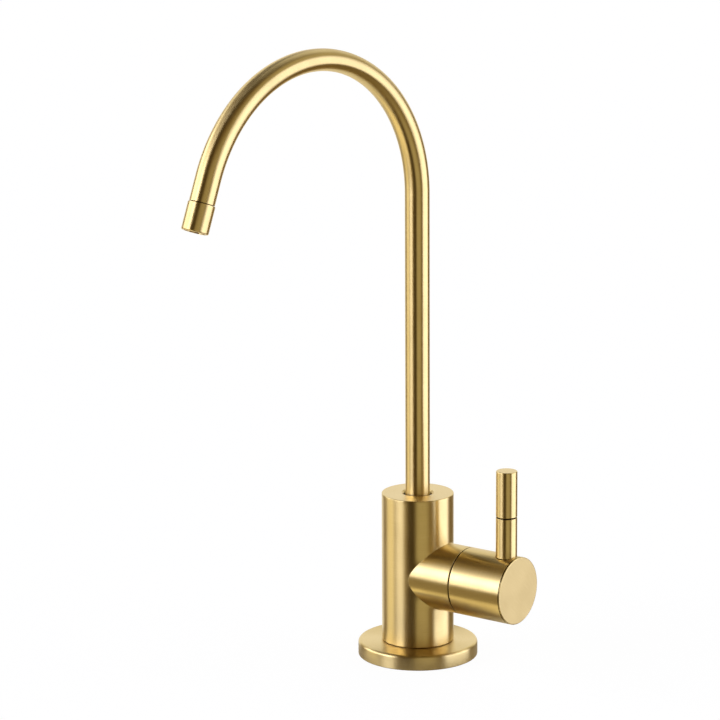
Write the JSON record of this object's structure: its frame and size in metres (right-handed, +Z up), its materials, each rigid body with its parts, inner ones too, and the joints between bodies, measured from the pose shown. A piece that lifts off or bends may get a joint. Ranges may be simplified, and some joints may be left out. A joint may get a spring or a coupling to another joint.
{
  "type": "drinking water filter tap",
  "caption": "Deck-mounted drinking water tap with a swivelling gooseneck spout, a side branch with a quarter-turn ceramic valve and upright lever, and a threaded shank with a push-fit inlet.",
  "frame": {"origin": "centre of the deck face, on the column axis at the underside of the flange", "axes": "+Z up along the column axis, +X along the branch and handle axis, -Y ahead to the user; the spout rests turned 7 degrees from ahead, away from the handle"},
  "size_m": [0.0705, 0.1443, 0.3222],
  "materials": {
    "brushed_gold": "brass with a satin brushed gold coating",
    "raw_brass": "turned brass, uncoated",
    "plain_steel": "plain stainless steel",
    "white_ceramic": "lapped alumina ceramic, opaque",
    "black_rubber": "moulded rubber",
    "dark_nylon": "moulded nylon",
    "white_plastic": "moulded acetal"
  },
  "bodies": {
    "tap_body": {"flange": "brushed_gold", "base_gasket": "black_rubber", "body": "brushed_gold", "shank": "raw_brass", "deck_rubber_washer": "black_rubber", "deck_steel_washer": "plain_steel", "lock_nut": "raw_brass", "inlet_adapter": "white_plastic", "adapter_gasket": "black_rubber", "inlet_o_ring": "black_rubber", "guide_bush": "dark_nylon", "snap_ring": "plain_steel", "cartridge_housing": "raw_brass", "housing_o_ring": "black_rubber", "seat_seal": "black_rubber", "fixed_disc": "white_ceramic", "friction_washer": "white_plastic"},
    "spout": {"spout_tube": "brushed_gold", "spout_insert": "raw_brass", "spout_o_rings": "black_rubber", "nozzle": "brushed_gold", "nozzle_o_ring": "black_rubber", "flow_straightener": "raw_brass"},
    "handle": {"handle_barrel": "brushed_gold", "lever_stem": "brushed_gold", "lever_grip": "brushed_gold", "grub_screw": "plain_steel", "spindle": "raw_brass", "spindle_o_rings": "black_rubber", "spindle_circlip": "plain_steel", "moving_disc": "white_ceramic"},
    "collet": {"collet": "white_plastic"}
  },
  "joints": [
    {"name": "spout_swivel", "type": "hinge", "parent": "tap_body", "child": "spout", "pos_m": [0, 0, 0.0651], "axis": [0, 0, 1], "continuous": true},
    {"name": "handle_turn", "type": "hinge", "parent": "tap_body", "child": "handle", "pos_m": [0.03, 0, 0.0334], "axis": [1, 0, 0], "range_deg": [0, 90]},
    {"name": "collet_slide", "type": "slide", "parent": "tap_body", "child": "collet", "axis": [0, 0, 1], "range_m": [0, 0.0015]}
  ]
}
